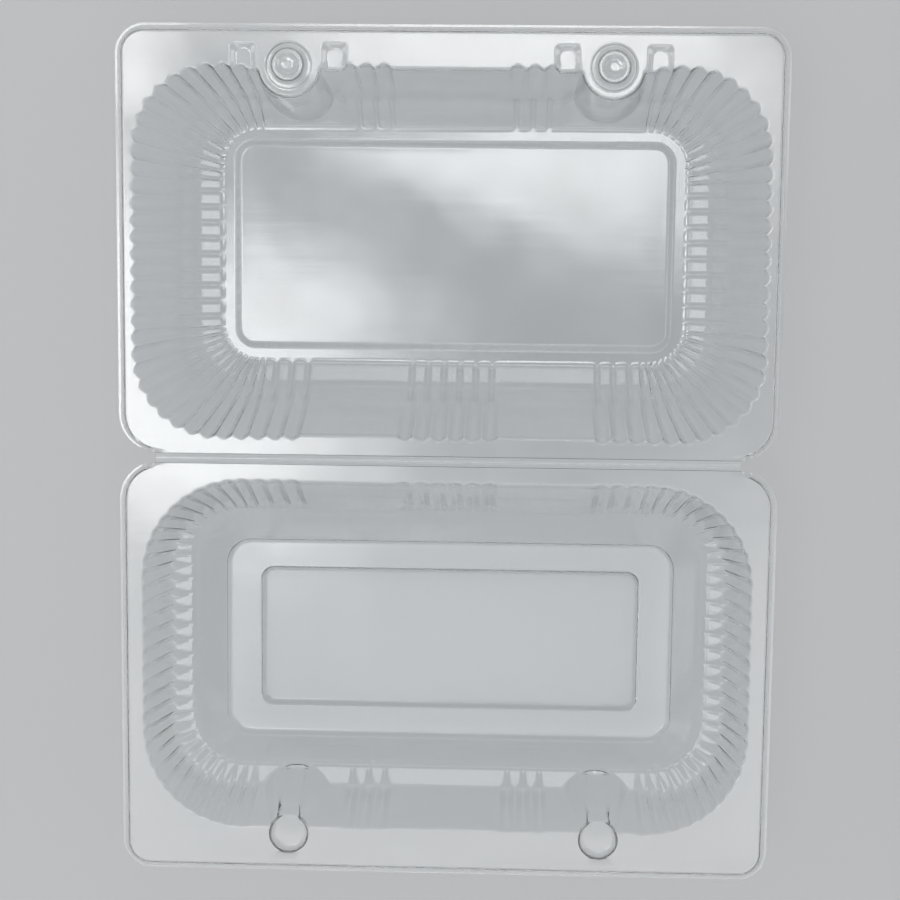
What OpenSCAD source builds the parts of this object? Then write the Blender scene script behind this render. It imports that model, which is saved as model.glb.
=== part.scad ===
// Hinged loaf container, thermoformed from one clear sheet.
// A fluted tray and a fluted lid fold together along a living hinge and snap shut on two studs.
// It lies open with both mouths up. The fold line runs along X, above the origin.
// The tray reaches towards +Y and the lid towards -Y. Each half is described with Y measured from
// the fold line, and the lid is that description mirrored.

/* [Outline] */
// Width of each half across its lip
half_w = 190; // [176:1:220]
// Length of each half from the fold line to its front lip
half_l = 123; // [112:0.5:145]
// Height of each half from its foot to the top of its flange
half_h = 40; // [36:1:46]
// Thickness of the formed sheet
sheet = 0.4; // [0.3:0.05:0.5]
// Corner radius of the lip at the front
front_corner_r = 8.5; // [6:0.5:12]
// Corner radius of the lip beside the hinge
hinge_corner_r = 11; // [6:0.5:11.5]

/* [Flange] */
// Width of the flange beside the mouth, lip included
side_flange = 5.4; // [4.5:0.1:8]
// Width of the flange in front of the mouth, lip included
front_flange = 12; // [11:0.1:16]
// Width of the flange from the fold line to the mouth
hinge_flange = 6.6; // [5.5:0.1:9]
// Drop of the rim from the flange to the lip
rim_drop = 2.4; // [1:0.2:4]
// Run of the sloping rim
rim_run = 1; // [0.6:0.1:1.4]
// Width of the flat lip round the rim
lip_w = 1.2; // [0.8:0.1:1.6]

/* [Mouth and flutes] */
// Corner radius of the tray's mouth
mouth_r = 23.5; // [20:0.5:26]
// Pitch of the flutes along the straight walls
flute_pitch = 4.9; // [4:0.1:6]
// Height of a flute from the middle of the wall
flute_rise = 0.65; // [0.3:0.05:0.9]
// Flutes on each side of a plain panel at the front
front_group = 3; // [1:1:4]
// Flutes in the middle of the hinge wall, to each side of its centre
hinge_group = 3; // [1:1:4]
// Width of the plain window in the front wall
window_w = 32.5; // [24:0.5:40]
// Width of each plain panel in the hinge wall
hinge_panel_w = 27.3; // [18:0.1:32]

/* [Tray] */
// Depth of the knee in the wall below the flange
tray_knee_drop = 33; // [26:1:34]
// Inset of the knee from the mouth at the sides
tray_knee_side = 9.7; // [6:0.1:12]
// Inset of the knee from the mouth at the hinge
tray_knee_hinge = 10.4; // [8:0.1:14]
// Inset of the knee from the mouth at the front
tray_knee_front = 7.4; // [5:0.1:10]
// Corner radius of the knee
tray_knee_r = 18; // [14:1:21]
// Inset of the floor from the mouth at the sides
tray_floor_side = 18; // [14:0.1:21]
// Inset of the floor from the mouth at the hinge
tray_floor_hinge = 18.4; // [17:0.1:22]
// Inset of the floor from the mouth at the front
tray_floor_front = 13.1; // [11:0.1:16]
// Corner radius of the floor
tray_floor_r = 12; // [8:1:13]
// Setback of the plain wall behind the snap pillars, at the knee
tray_setback = 1.5; // [0:0.5:4]
// Growth of the snap pillars' radius from the flange to the foot
tray_pillar_flare = 4.1; // [3:0.1:6]
// Inset of the raised panel from the edge of the floor
panel_inset = 5; // [4:0.5:8]
// Rise of the panel above the foot
panel_rise = 1.5; // [0.8:0.1:3]
// Corner radius of the panel
panel_r = 6; // [5:0.5:9]

/* [Lid] */
// Inset of the lid's mouth from the tray's at the sides
lid_mouth_side = 1.8; // [0:0.1:2.5]
// Inset of the lid's mouth from the tray's at the front
lid_mouth_front = 2.2; // [0:0.1:3]
// Corner radius of the lid's mouth
lid_mouth_r = 29; // [24:0.5:30]
// Height of a flute at the lid's mouth, where it starts
lid_mouth_rise = 0.2; // [0.1:0.05:0.6]
// Depth of the knee in the wall below the flange
lid_knee_drop = 19; // [14:0.5:20]
// Inset of the knee from the mouth at the sides
lid_knee_side = 6.4; // [5:0.1:9.5]
// Inset of the knee from the mouth at the hinge
lid_knee_hinge = 8.8; // [6:0.1:10.5]
// Inset of the knee from the mouth at the front
lid_knee_front = 8.2; // [6:0.1:11]
// Corner radius of the knee
lid_knee_r = 20; // [16:1:22]
// Depth of the shoulder where the flutes have died out
shoulder_drop = 23; // [21:0.5:28]
// Inset of the shoulder from the mouth at the sides
shoulder_side = 13; // [11:0.1:15.5]
// Inset of the shoulder from the mouth at the hinge
shoulder_hinge = 11.6; // [11:0.1:16]
// Inset of the shoulder from the mouth at the front
shoulder_front = 15.3; // [13:0.1:16]
// Corner radius of the shoulder
shoulder_r = 15; // [12:1:18]
// Growth of the snap pillars' radius from the flange to the foot
lid_pillar_flare = 15; // [13:0.1:15.5]
// Width of the stacking platform on the lid
platform_w = 138.5; // [128:0.5:140]
// Length of the stacking platform
platform_l = 62.5; // [54:0.5:66]
// Width of the raised panel on the platform
crown_w = 117.5; // [108:0.5:122]
// Length of the raised panel on the platform
crown_l = 44.2; // [38:0.2:50]
// Distance from the fold line to the middle of the platform
platform_mid = 60.2; // [57:0.1:64]
// Height of the platform and of the panel, each above the step before it
step_h = 2.5; // [1.5:0.1:3.5]
// Run of the sloping sides of the platform and the panel
step_run = 1; // [0.5:0.1:1.5]
// Corner radius of the platform
platform_r = 8; // [5:0.5:10]
// Corner radius of the panel on the platform
crown_r = 4; // [2:0.5:6]

/* [Snaps] */
// Distance between the two studs
snap_spacing = 91; // [82:0.5:100]
// Distance from a stud to the flutes of the corner beside it
snap_to_corner = 11.5; // [10:0.1:14]
// Distance from the front lip to the middle of a stud
snap_from_lip = 11.8; // [10.4:0.1:14]
// Radius of a stud at the flange
stud_r = 5.1; // [4.8:0.1:5.8]
// Radius of a stud at its crown
stud_crown_r = 4.5; // [3.9:0.1:4.7]
// Height of a stud above the flange
stud_h = 3.2; // [2:0.1:3.4]
// Radius of the dimple in a stud's crown
dimple_r = 3.2; // [2:0.1:3.4]
// Depth of the dimple
dimple_h = 1; // [0.4:0.1:1.6]
// Radius of the low collar round a stud
collar_r = 6.5; // [6.2:0.1:7.4]
// Height of the collar above the flange
collar_h = 0.25; // [0.1:0.05:0.3]
// Clearance between a stud and its socket
snap_gap = 0.45; // [0.3:0.05:0.7]
// Radius of the pillar under a stud, at the flange
pillar_r = 8.8; // [8:0.1:10]
// Width of the land between a socket and the edge of its pillar, at the flange
socket_land = 0.75; // [0.6:0.05:1]
// Width of the gutter that opens a socket to the cavity
gutter_w = 5.3; // [4:0.1:7]
// Distance from the middle of a socket to the end of the gutter's ramp
ramp_reach = 7.6; // [6.5:0.1:8.2]
// Depth of the ramp's end below the flange
ramp_drop = 5.8; // [4.5:0.1:8]
// Distance from the middle of a socket to the foot of the gutter
gutter_reach = 13.5; // [11:0.1:14.2]
// Depth of the gutter's foot below the flange
gutter_drop = 21.8; // [14:0.1:22]
// Distance from a stud to the middle of the notch beside it
notch_from_snap = 12.9; // [12.2:0.1:15]
// Width of a notch
notch_w = 7.2; // [5:0.1:8]
// Reach of a notch into the flange, from the mouth
notch_reach = 6.5; // [5:0.1:8]
// Depth of a notch
notch_h = 1.4; // [0.8:0.1:2]
// Run of a notch's sloping sides
notch_run = 1.2; // [0.6:0.1:1.6]

/* [Hinge] */
// Length of the living hinge along the fold
hinge_w = 168; // [140:1:168]
// Width of the flexing web across the fold
web_w = 3; // [2.4:0.2:5]
// Sag of the web below the flange
web_sag = 0.8; // [0.5:0.1:1.4]
// Gap between the two flanges when the lid is shut
shut_gap = 0.4; // [0.3:0.05:0.8]

/* [Hidden] */

// How far cutting shapes run past what they cut
overrun = 1;
// Thickness of the thin plates between which sloping shapes are spanned
film = 0.01;
// Facets of round features, and of each quarter turn in a rounded plate
round_fn = 32;
// Steps across the curve of the hinge web
web_steps = 8;
clear_plastic = [0.85, 0.89, 0.92, 0.5];

// A flute's outline in shares of its rise, from one ridge to just before the next. At the mouth it is
// a broad lobe between narrow ridges, and at the foot a narrow groove between broad bars.
lobe_shares = [-1, 0.65, 1, 0.65];
bar_shares = [-1, -0.65, 1, -0.65];
// Share of the change from lobes to bars that is done at a knee
knee_bar_share = 0.5;
// Shares of the sheet by which the offset face of a wall moves down at a knee and out at a floor
knee_sink_share = 0.4;
floor_out_share = 0.5;
// Share of a flute's pitch in which the plain wall behind a pillar reaches its setback
blend_share = 0.2;

snap_x = snap_spacing / 2;
snap_y = half_l - snap_from_lip;
// A shut lid lies one gap above the tray, so the stud enters its socket by that much less
socket_h = stud_h - shut_gap + snap_gap;
blend = flute_pitch * blend_share;
socket_r = stud_r + snap_gap;
lid_pillar_r = socket_r + socket_land;

// A ring is one level of a cavity wall:
// [half width, hinge edge, front edge, corner radius, height, flute rise, setback, share of bars]
function ring(z, side_in, hinge_in, front_in, corner_r, flute, setback, bar_share) = [
    half_w / 2 - side_flange - side_in,
    hinge_flange + hinge_in,
    half_l - front_flange - front_in,
    corner_r, z, flute, setback, bar_share
];
function plain_ring(half, hinge, front, corner_r, z) = [half, hinge, front, corner_r, z, 0, 0, 0];
function grown(r, out, down) =
    [r[0] + out, r[1] - out, r[2] + out, r[3] + out, r[4] - down, r[5], r[6], r[7]];

mouth = ring(half_h, 0, 0, 0, mouth_r, flute_rise, 0, 0);
tray_knee = ring(half_h - tray_knee_drop, tray_knee_side, tray_knee_hinge, tray_knee_front,
                 tray_knee_r, flute_rise, tray_setback, knee_bar_share);
tray_floor = ring(sheet, tray_floor_side, tray_floor_hinge, tray_floor_front,
                  tray_floor_r, flute_rise, 0, 1);
lid_mouth = ring(half_h, lid_mouth_side, 0, lid_mouth_front, lid_mouth_r, lid_mouth_rise, 0, 0);
lid_knee = ring(half_h - lid_knee_drop, lid_knee_side, lid_knee_hinge, lid_knee_front,
                lid_knee_r, flute_rise, 0, knee_bar_share);
shoulder = ring(half_h - shoulder_drop, shoulder_side, shoulder_hinge, shoulder_front,
                shoulder_r, 0, 0, 0);

function step_ring(w, l, corner_r, z) =
    plain_ring(w / 2, platform_mid - l / 2, platform_mid + l / 2, corner_r, z);
panel = plain_ring(tray_floor[0] - panel_inset, tray_floor[1] + panel_inset, tray_floor[2] - panel_inset,
                   panel_r, sheet);
platform_top = step_ring(platform_w, platform_l, platform_r, sheet + 2 * step_h);
platform = grown(platform_top, -step_run, step_h);
crown_top = step_ring(crown_w, crown_l, crown_r, sheet + step_h);
crown = grown(crown_top, -step_run, step_h);

// Both halves share their flutes, so the straight runs fit every level of the walls
fluted = [mouth, tray_knee, tray_floor, lid_mouth, lid_knee, shoulder, platform_top];
side_front = min([for (r = fluted) r[2] - r[3]]);
side_hinge = max([for (r = fluted) r[1] + r[3]]);
straight_x = min([for (r = fluted) r[0] - r[3]]);

window_x = window_w / 2;
group_x = window_x + front_group * flute_pitch;
front_x = min(straight_x, max(snap_x + snap_to_corner, group_x + 2 * blend));
hinge_group_x = hinge_group * flute_pitch;
panel_x = hinge_group_x + hinge_panel_w;
hinge_flutes = max(1, floor((straight_x - panel_x) / flute_pitch));
hinge_x = panel_x + hinge_flutes * flute_pitch;

function turn_length(hw, front, r, x, y) = (hw - r - x) + r * PI / 2 + (front - r - y);
function flute_count(length) = max(1, round(length / flute_pitch));
front_turn_flutes = flute_count(turn_length(mouth[0], mouth[2], mouth[3], front_x, side_front));
side_flutes = flute_count(side_front - side_hinge);
hinge_turn_flutes = flute_count(turn_length(mouth[0], -mouth[1], mouth[3], hinge_x, -side_hinge));

// A station is one place round the wall:
// [run, position, point of the flute's outline, share of the setback].
// The runs are the front, the front corner, the side, the hinge corner and the hinge wall.
// The plain panels between the flutes are level with the ridges.
// A corner's position is a share of its own length at each level.
FRONT = 0;
FRONT_TURN = 1;
SIDE = 2;
HINGE_TURN = 3;
HINGE = 4;
RIDGE = 0;
function flutes(run, from, to, n) = [
    for (i = [0 : n - 1], j = [0 : len(lobe_shares) - 1])
        [run, from + (to - from) * (i + j / len(lobe_shares)) / n, j, 0]
];
right_stations = concat(
    [[FRONT, 0, RIDGE, 0]],
    flutes(FRONT, window_x, group_x, front_group),
    [[FRONT, group_x, RIDGE, 0], [FRONT, group_x + blend, RIDGE, 1], [FRONT, front_x - blend, RIDGE, 1]],
    flutes(FRONT_TURN, 0, 1, front_turn_flutes),
    flutes(SIDE, side_front, side_hinge, side_flutes),
    flutes(HINGE_TURN, 0, 1, hinge_turn_flutes),
    flutes(HINGE, hinge_x, panel_x, hinge_flutes),
    [[HINGE, panel_x, RIDGE, 0]],
    flutes(HINGE, hinge_group_x, 0, hinge_group)
);

// Place and outward direction at a share of the way round a corner, from x on the front to y on the side
function turn(hw, front, r, x, y, share) =
    let (before = hw - r - x,
         way = share * turn_length(hw, front, r, x, y) - before,
         angle = way / r * 180 / PI)
    way < 0 ? [[x + before + way, front], [0, 1]]
    : angle < 90 ? [[hw - r + r * sin(angle), front - r + r * cos(angle)], [sin(angle), cos(angle)]]
    : [[hw, front - r - (way - r * PI / 2)], [1, 0]];
function flipped(spot) = [for (v = spot) [v[0], -v[1]]];
function spot(r, s) =
    s[0] == FRONT ? [[s[1], r[2]], [0, 1]]
    : s[0] == FRONT_TURN ? turn(r[0], r[2], r[3], front_x, side_front, s[1])
    : s[0] == SIDE ? [[r[0], s[1]], [1, 0]]
    : s[0] == HINGE_TURN ? flipped(turn(r[0], -r[1], r[3], hinge_x, -side_hinge, 1 - s[1]))
    : [[s[1], r[1]], [0, -1]];
function flute_share(point, bar_share) =
    lobe_shares[point] * (1 - bar_share) + bar_shares[point] * bar_share;
function wall_point(r, s) =
    let (place = spot(r, s), xy = place[0] + place[1] * (flute_share(s[2], r[7]) * r[5] + s[3] * r[6]))
    [xy[0], xy[1], r[4]];

// All points of one level, clockwise from above, starting in the middle of the front
function wall_points(r) =
    let (right = [for (s = right_stations) wall_point(r, s)],
         back = wall_point(r, [HINGE, 0, RIDGE, 0]))
    concat(right, [back], [for (i = [len(right) - 1 : -1 : 1]) [-right[i][0], right[i][1], right[i][2]]]);

// A closed solid through a stack of levels, from the top one down
module loft(rings) {
    levels = [for (r = rings) wall_points(r)];
    n = len(levels[0]);
    last = len(rings) - 1;
    points = [for (level = levels) each level];
    sides = [for (i = [0 : last - 1], j = [0 : n - 1])
        let (k = (j + 1) % n, upper = i * n, lower = upper + n)
        each [[upper + k, upper + j, lower + j], [upper + k, lower + j, lower + k]]];
    caps = [[for (j = [0 : n - 1]) j], [for (j = [n - 1 : -1 : 0]) last * n + j]];
    polyhedron(points, concat(caps, sides));
}

// A plate with rounded corners, r being a ring
module plate(r, z, h) {
    translate([-r[0] + r[3], r[1] + r[3], z])
        linear_extrude(h)
            offset(r[3], $fn = round_fn)
                square([2 * (r[0] - r[3]), r[2] - r[1] - 2 * r[3]]);
}

// The solid spanned between two rounded plates, each at its ring's own height
module span_plates(upper, lower) {
    hull() {
        plate(upper, upper[4], film);
        plate(lower, lower[4], film);
    }
}

module both_snaps() {
    for (side = [-1, 1])
        translate([side * snap_x, snap_y, 0])
            children();
}

// Each half is the space between two forms: form d is the solid under the face that lies d below
// the top face of the sheet. Material is added to a form where the sheet stands up, and taken away
// where it sinks.

// The outline of one half, cut square along the fold
module outline(h) {
    hinge_edge = web_w / 2;
    linear_extrude(h)
        hull()
            for (side = [-1, 1]) {
                translate([side * (half_w / 2 - front_corner_r), half_l - front_corner_r])
                    circle(front_corner_r, $fn = 2 * round_fn);
                translate([side * (half_w / 2 - hinge_corner_r), hinge_edge + hinge_corner_r])
                    circle(hinge_corner_r, $fn = 2 * round_fn);
            }
}

// The lip, the sloping rim, the flange, and the flat strip that runs out to the hinge
module flange_form(d) {
    lip_z = half_h - rim_drop - d;
    lip_in = lip_w + d;
    lip_r = front_corner_r - lip_w;
    lip = plain_ring(half_w / 2 - lip_in, web_w / 2 + lip_in, half_l - lip_in, lip_r, lip_z);
    strip = plain_ring(hinge_w / 2 + rim_run - d, -hinge_corner_r, hinge_flange, rim_run, lip_z);
    translate([-half_w, -half_l, -overrun - d])
        cube([2 * half_w, 3 * half_l, lip_z + overrun + d]);
    for (foot = [lip, strip])
        span_plates(grown(foot, -rim_run, film - rim_drop), grown(foot, 0, film));
}

// The cone-shaped pillars that carry the snaps, standing in from the front wall
module pillar_form(d, top_r, flare) {
    both_snaps()
        translate([0, 0, -overrun])
            cylinder(half_h + overrun - d, top_r + flare - d, top_r - d, $fn = round_fn);
}

// A stud with a dimpled crown, in a low collar
module stud_form(d) {
    both_snaps()
        translate([0, 0, half_h - d])
            difference() {
                translate([0, 0, -overrun]) {
                    cylinder(stud_h + overrun, stud_r + (stud_r - stud_crown_r) * overrun / stud_h - d,
                             stud_crown_r - d, $fn = round_fn);
                    cylinder(collar_h + overrun, r = collar_r - d, $fn = round_fn);
                }
                translate([0, 0, stud_h - dimple_h])
                    cylinder(dimple_h + overrun, dimple_r - dimple_h + d,
                             dimple_r + overrun + d, $fn = round_fn);
            }
}

// A socket that takes the stud of the other half, and the gutter that opens it to the cavity.
// The gutter runs over a ramp and on down the face of the pillar.
module socket_form(d) {
    top_z = half_h + overrun;
    reach = lid_pillar_r + lid_pillar_flare;
    section = [
        [-stud_crown_r, top_z],
        [-stud_crown_r, half_h - socket_h],
        [-ramp_reach, half_h - ramp_drop],
        [-gutter_reach, half_h - gutter_drop],
        [-reach, half_h - gutter_drop],
        [-reach, top_z]
    ];
    both_snaps() {
        translate([0, 0, half_h - socket_h - d])
            cylinder(socket_h + d, stud_crown_r + snap_gap + d, socket_r + d, $fn = round_fn);
        translate([-gutter_w / 2 - d, 0, 0])
            rotate([90, 0, 90])
                linear_extrude(gutter_w + 2 * d)
                    offset(delta = d)
                        polygon(section);
    }
}

// The shallow notches beside each stud, open to the mouth
module notch_form(d) {
    mouth_y = mouth[2] - snap_y;
    both_snaps()
        for (side = [-1, 1])
            translate([side * notch_from_snap, mouth_y - notch_reach, half_h])
                hull() {
                    translate([-notch_w / 2 - d, 0, 0])
                        cube([notch_w + 2 * d, 2 * notch_reach + d, overrun]);
                    translate([-notch_w / 2 + notch_run - d, 0, -notch_h - d])
                        cube([notch_w - 2 * notch_run + 2 * d, 2 * notch_reach - notch_run + d, overrun]);
                }
}

module tray_cavity(d) {
    loft([
        grown(mouth, d, -overrun),
        grown(mouth, d, d),
        grown(tray_knee, d, d * knee_sink_share),
        grown(tray_floor, d * floor_out_share, d)
    ]);
}

module tray_form(d) {
    difference() {
        union() {
            difference() {
                flange_form(d);
                tray_cavity(d);
            }
            pillar_form(d, pillar_r, tray_pillar_flare);
            stud_form(d);
            span_plates(grown(panel, -panel_rise - d, d + film - panel_rise), grown(panel, -d, d + film));
        }
        notch_form(d);
    }
}

module lid_cavity(d) {
    loft([
        grown(lid_mouth, d, -overrun),
        grown(lid_mouth, d, d),
        grown(lid_knee, d, d * knee_sink_share),
        grown(shoulder, d, d * knee_sink_share),
        grown(platform_top, d, d * knee_sink_share)
    ]);
    span_plates(grown(platform_top, d * floor_out_share, d * knee_sink_share - film),
                grown(platform, d * floor_out_share, d));
    span_plates(grown(crown_top, d * floor_out_share, d - film), grown(crown, d * floor_out_share, d));
}

module lid_form(d) {
    difference() {
        union() {
            difference() {
                flange_form(d);
                lid_cavity(d);
            }
            pillar_form(d, lid_pillar_r, lid_pillar_flare);
        }
        socket_form(d);
    }
}

module tray() {
    color(clear_plastic)
        intersection() {
            outline(half_h + stud_h + overrun);
            difference() {
                tray_form(0);
                tray_form(sheet);
            }
        }
}

module lid() {
    color(clear_plastic)
        mirror([0, 1, 0])
            intersection() {
                outline(half_h + overrun);
                difference() {
                    lid_form(0);
                    lid_form(sheet);
                }
            }
}

// The thin web that joins the two flanges and bends when the lid shuts
module living_hinge() {
    top = [for (i = [0 : web_steps]) let (share = i / web_steps)
        [(share - 1 / 2) * web_w, half_h - web_sag * sin(180 * share)]];
    bottom = [for (i = [web_steps : -1 : 0]) top[i] - [0, sheet]];
    color(clear_plastic)
        translate([-hinge_w / 2, 0, 0])
            rotate([90, 0, 90])
                linear_extrude(hinge_w)
                    polygon(concat(top, bottom));
}

tray();
lid();
living_hinge();
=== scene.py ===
"""A clear hinged loaf container, lying open on a pale studio floor and seen from above."""

import math

import bpy
import numpy as np
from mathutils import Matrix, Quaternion, Vector
from mathutils.geometry import delaunay_2d_cdt


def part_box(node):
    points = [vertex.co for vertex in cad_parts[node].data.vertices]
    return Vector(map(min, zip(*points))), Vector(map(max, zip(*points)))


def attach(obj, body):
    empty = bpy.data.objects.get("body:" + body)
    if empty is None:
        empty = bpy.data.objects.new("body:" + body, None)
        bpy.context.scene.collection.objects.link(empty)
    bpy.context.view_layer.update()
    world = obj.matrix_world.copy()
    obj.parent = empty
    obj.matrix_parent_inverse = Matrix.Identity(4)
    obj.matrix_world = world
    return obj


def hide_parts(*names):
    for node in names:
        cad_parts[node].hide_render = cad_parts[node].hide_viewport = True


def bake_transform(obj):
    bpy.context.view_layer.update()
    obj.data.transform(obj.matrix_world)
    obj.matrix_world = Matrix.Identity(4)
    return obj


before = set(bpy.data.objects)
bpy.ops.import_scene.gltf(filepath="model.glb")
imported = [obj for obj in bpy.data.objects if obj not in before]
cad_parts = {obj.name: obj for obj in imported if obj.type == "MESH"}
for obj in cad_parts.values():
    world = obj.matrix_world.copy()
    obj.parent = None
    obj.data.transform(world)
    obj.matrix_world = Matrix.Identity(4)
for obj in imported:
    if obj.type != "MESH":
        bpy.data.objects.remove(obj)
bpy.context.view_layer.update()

# Sizes of the part are in millimetres. Those of a half, the web and the studs come from the frame.
MM = 0.001
tray_low, tray_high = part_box("tray")
lid_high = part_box("lid")[1]
HALF_W = (tray_high[0] - tray_low[0]) / MM
HALF_L = tray_high[1] / MM
HALF_H = lid_high[2] / MM
WEB_W = 2 * tray_low[1] / MM
STUD_H = (tray_high[2] - lid_high[2]) / MM
SHEET = 0.4

# Flange, rim and hinge
FRONT_CORNER_R = 8.5
HINGE_CORNER_R = 11.0
SIDE_FLANGE = 5.4
FRONT_FLANGE = 12.0
HINGE_FLANGE = 6.6
RIM_DROP = 2.4
RIM_RUN = 1.0
RIM_FADE = 4.0
LIP_W = 1.2
RIM_ROUND = 0.45
# Shares of the rim's slope at which the round at its foot ends and the round at its top starts
RIM_FOOT_END = 0.25
RIM_TOP_START = 0.7
# Width of the rim at the hinge, as a share of its width elsewhere
HINGE_RIM = 0.6
MOUTH_ROUND = 0.7
# Distance of the extra loop that keeps a round from spreading into the flat beside it
EDGE_SUPPORT = 0.3
HINGE_W = 168.0
WEB_SAG = 0.8

# Flutes and plain panels
FLUTE_PITCH = 4.9
FLUTE_RISE = 0.65
LID_MOUTH_RISE = 0.2
LID_KNEE_RISE = 0.8
LOBE_SOFT = 0.35
GROOVE_W = 0.11
BAR_CROWN = 0.3
FLUTE_PHASES = (0, 0.06, 0.13, 0.22, 0.31, 0.38, 0.44, 0.5, 0.56, 0.62, 0.69, 0.78, 0.87, 0.94)
WINDOW_W = 32.5
WINDOW_X = WINDOW_W / 2
FRONT_GROUP = 3
HINGE_GROUP = 3
HINGE_PANEL_W = 27.3
BLEND = 0.2 * FLUTE_PITCH

# Studs
SNAP_SPAN = 91.0
SNAP_FROM_FRONT = 11.8
SNAP_X = SNAP_SPAN / 2
SNAP_Y = HALF_L - SNAP_FROM_FRONT
SNAP_TO_CORNER = 11.5
STUD_R = 5.1
STUD_CROWN_R = 4.5
SNAP_TAPER = STUD_R - STUD_CROWN_R
DIMPLE_R = 3.2
DIMPLE_H = 1.0
DIMPLE_MIDDLE_R = 0.8
COLLAR_R = 6.5
COLLAR_H = 0.25
# Outline of a stud as radius and height: its collar, its side, its crown and its dimple
STUD_PROFILE = (
    (COLLAR_R + 0.5, 0), (COLLAR_R + 0.15, 0), (COLLAR_R + 0.05, 0.04),
    (COLLAR_R - 0.1, COLLAR_H - 0.04), (COLLAR_R - 0.25, COLLAR_H),
    (STUD_R + 0.4, COLLAR_H), (STUD_R + 0.12, COLLAR_H + 0.05), (STUD_R - 0.08, COLLAR_H + 0.35),
    (STUD_R - 0.8 * SNAP_TAPER, 0.8 * STUD_H), (STUD_CROWN_R + 0.04, 0.92 * STUD_H),
    (STUD_CROWN_R - 0.25, 0.985 * STUD_H), (STUD_CROWN_R - 0.55, STUD_H),
    (DIMPLE_R + 0.3, STUD_H), (DIMPLE_R + 0.05, STUD_H - 0.05), (DIMPLE_R - 0.2, STUD_H - 0.22),
    (DIMPLE_R - 0.75, STUD_H - 0.85 * DIMPLE_H), (DIMPLE_R - 1.05, STUD_H - DIMPLE_H),
    (DIMPLE_MIDDLE_R, STUD_H - DIMPLE_H))

# Sockets and the gutters that open them towards the cavity
SNAP_GAP = 0.45
SHUT_GAP = 0.4
SOCKET_H = STUD_H - SHUT_GAP + SNAP_GAP
SOCKET_R = STUD_R + SNAP_GAP
SOCKET_LAND = 0.75
LAND_ROUND = 0.28
GUTTER_W = 4.7
GUTTER_SIDE = 0.8
GUTTER_FOOT = GUTTER_W / 2
GUTTER_BRIM = GUTTER_W / 2 + GUTTER_SIDE
RAMP_MARGIN = 0.8
RAMP_REACH = 7.6
RAMP_DROP = 5.8
GUTTER_REACH = 13.5
GUTTER_DROP = 21.8
# Floor of a socket, its ramp and its gutter: distances from the socket's middle, and depths there
FLOOR_REACHES = (STUD_CROWN_R, RAMP_REACH, GUTTER_REACH)
FLOOR_DROPS = (SOCKET_H, RAMP_DROP, GUTTER_DROP)
# Edges of a socket, from its brim to its floor: radius, half width of the gutter, share of the depth
SOCKET_PROFILE = (
    (SOCKET_R + 0.3, GUTTER_BRIM + 0.3, 0.0), (SOCKET_R + 0.1, GUTTER_BRIM + 0.1, 0.0),
    (SOCKET_R - 0.1, GUTTER_BRIM - 0.1, 0.08), (SOCKET_R - 0.85 * SNAP_TAPER, GUTTER_FOOT + 0.1, 0.9),
    (SOCKET_R - SNAP_TAPER - 0.15, GUTTER_FOOT - 0.1, 1.0),
    (SOCKET_R - SNAP_TAPER - 0.6, GUTTER_FOOT - 0.45, 1.0))

# Pillars under the snaps: radius at the flange, and growth from there to the foot
TRAY_PILLAR = (8.8, 4.1)
LID_PILLAR = (SOCKET_R + SOCKET_LAND, 15.0)
PILLAR_ROUND = 1.3
# A pillar stays at least this wide, to each side, where it meets the wall
CHORD_MIN = 4.0
SETBACK_RUN = 4.5

# Notches beside the studs
NOTCH_FROM_SNAP = 12.9
NOTCH_W = 7.2
NOTCH_REACH = 6.5
NOTCH_H = 1.4
NOTCH_RUN = 1.2
# Edges of a notch, from its brim to its floor: inset, height, corner radius
NOTCH_PROFILE = (
    (-0.45, 0, 1.7), (-0.15, 0, 1.4), (0.15, -0.08, 1.3),
    (NOTCH_RUN - 0.2, -NOTCH_H + 0.12, 2.2), (NOTCH_RUN + 0.1, -NOTCH_H, 2.1),
    (NOTCH_RUN + 0.5, -NOTCH_H, 1.8))

# Tray floor
FOOT_ROUND = 1.3
PANEL_INSET = 5.0
PANEL_RISE = 1.5
PANEL_R = 6.0
PANEL_DOME = 0.5
# Edge of the raised panel, which slopes at about 45 degrees: inset and height
PANEL_PROFILE = (
    (-0.7, 0), (-0.35, 0), (0, 0.1), (0.3, 0.36),
    (PANEL_RISE - 0.35, PANEL_RISE - 0.36), (PANEL_RISE, PANEL_RISE - 0.08),
    (PANEL_RISE + 0.4, PANEL_RISE), (PANEL_RISE + 0.8, PANEL_RISE))

# Lid platform
PLATFORM_W = 138.5
PLATFORM_L = 62.5
PLATFORM_MID = 60.2
CROWN_W = 117.5
CROWN_L = 44.2
STEP_H = 2.5
STEP_RUN = 1.0
PLATFORM_R = 8.0
CROWN_R = 4.0
STEP_ROUND = 0.35
# Edge of a step, and the flat before the second one: inset and height
STEP_PROFILE = (
    (0.0, 0.0), (STEP_ROUND * 0.6, -0.12), (0.45, -0.5), (STEP_RUN - 0.1, -STEP_H + 0.45),
    (STEP_RUN + 0.1, -STEP_H + 0.1), (STEP_RUN + 0.45, -STEP_H), (STEP_RUN + 0.8, -STEP_H))
STEP_BRIM = ((-0.7, 0), (-0.3, 0))

# Places on the way down the tray's wall: share of the way, share of bars, share of the flutes' depth
TRAY_MOUTH_END = 0.04
TRAY_UPPER = ((0.12, 0, 0.85), (0.3, 0, 0.8), (0.5, 0.05, 0.7), (0.68, 0.15, 0.55))
TRAY_KNEE_START = (0.82, 0.4, 0.45)
TRAY_KNEE_END = (0.36, 0.85, 1)
TRAY_LOWER = ((0.43, 0.97, 1), (0.55, 1, 1), (0.72, 1, 1))
TRAY_FOOT_START = (0.9, 1, 1)

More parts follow.
